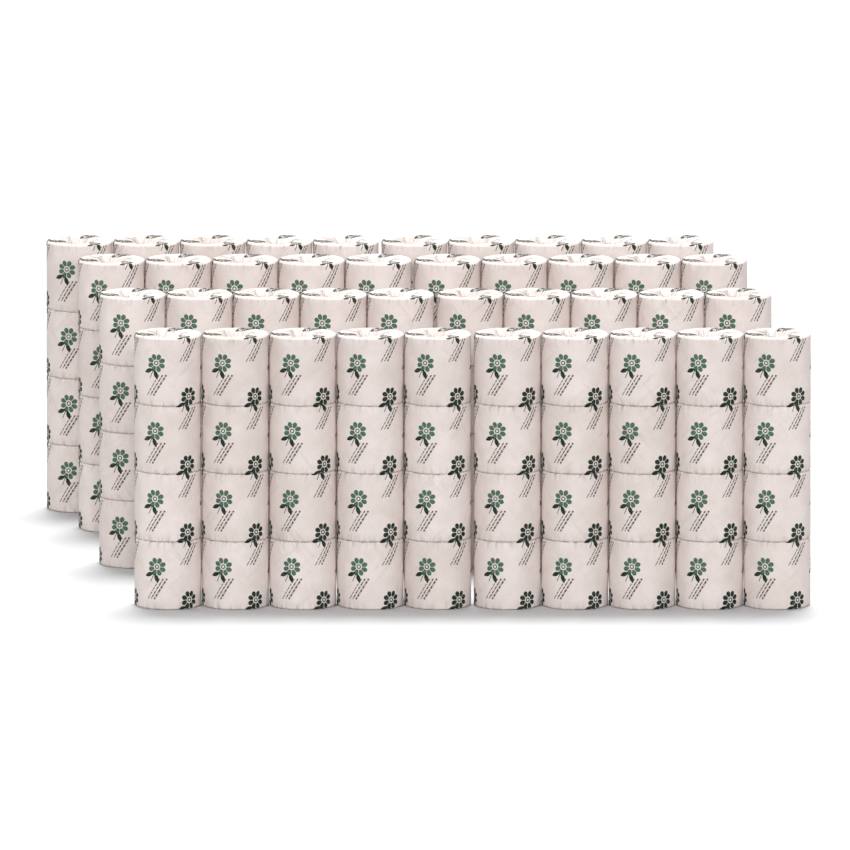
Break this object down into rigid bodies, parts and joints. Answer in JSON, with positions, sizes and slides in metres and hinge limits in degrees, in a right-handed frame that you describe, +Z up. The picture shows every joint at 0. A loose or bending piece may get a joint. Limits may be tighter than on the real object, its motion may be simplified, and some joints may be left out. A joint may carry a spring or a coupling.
{
  "type": "toilet paper roll pack",
  "caption": "Case pack of paper-wrapped toilet rolls standing on end in four free-standing walls, each a grid of equal stacks, for storing, counting or loading.",
  "frame": {"origin": "on the floor, at the middle of the footprint of the whole pack", "axes": "+X along the walls of rolls, +Y from the front wall to the back wall, +Z up"},
  "size_m": [1.1572, 0.929, 0.4144],
  "materials": {
    "wrapper_paper": "thin uncoated off-white wrapping paper, dark green and grey print"
  },
  "bodies": {
    "root": {"front_wall_stack_01": "wrapper_paper", "front_wall_stack_02": "wrapper_paper", "front_wall_stack_03": "wrapper_paper", "front_wall_stack_04": "wrapper_paper", "front_wall_stack_05": "wrapper_paper", "front_wall_stack_06": "wrapper_paper", "front_wall_stack_07": "wrapper_paper", "front_wall_stack_08": "wrapper_paper", "front_wall_stack_09": "wrapper_paper", "front_wall_stack_10": "wrapper_paper", "second_wall_stack_01": "wrapper_paper", "second_wall_stack_02": "wrapper_paper", "second_wall_stack_03": "wrapper_paper", "second_wall_stack_04": "wrapper_paper", "second_wall_stack_05": "wrapper_paper", "second_wall_stack_06": "wrapper_paper", "second_wall_stack_07": "wrapper_paper", "second_wall_stack_08": "wrapper_paper", "second_wall_stack_09": "wrapper_paper", "second_wall_stack_10": "wrapper_paper", "third_wall_stack_01": "wrapper_paper", "third_wall_stack_02": "wrapper_paper", "third_wall_stack_03": "wrapper_paper", "third_wall_stack_04": "wrapper_paper", "third_wall_stack_05": "wrapper_paper", "third_wall_stack_06": "wrapper_paper", "third_wall_stack_07": "wrapper_paper", "third_wall_stack_08": "wrapper_paper", "third_wall_stack_09": "wrapper_paper", "third_wall_stack_10": "wrapper_paper", "back_wall_stack_01": "wrapper_paper", "back_wall_stack_02": "wrapper_paper", "back_wall_stack_03": "wrapper_paper", "back_wall_stack_04": "wrapper_paper", "back_wall_stack_05": "wrapper_paper", "back_wall_stack_06": "wrapper_paper", "back_wall_stack_07": "wrapper_paper", "back_wall_stack_08": "wrapper_paper", "back_wall_stack_09": "wrapper_paper", "back_wall_stack_10": "wrapper_paper"}
  },
  "joints": []
}
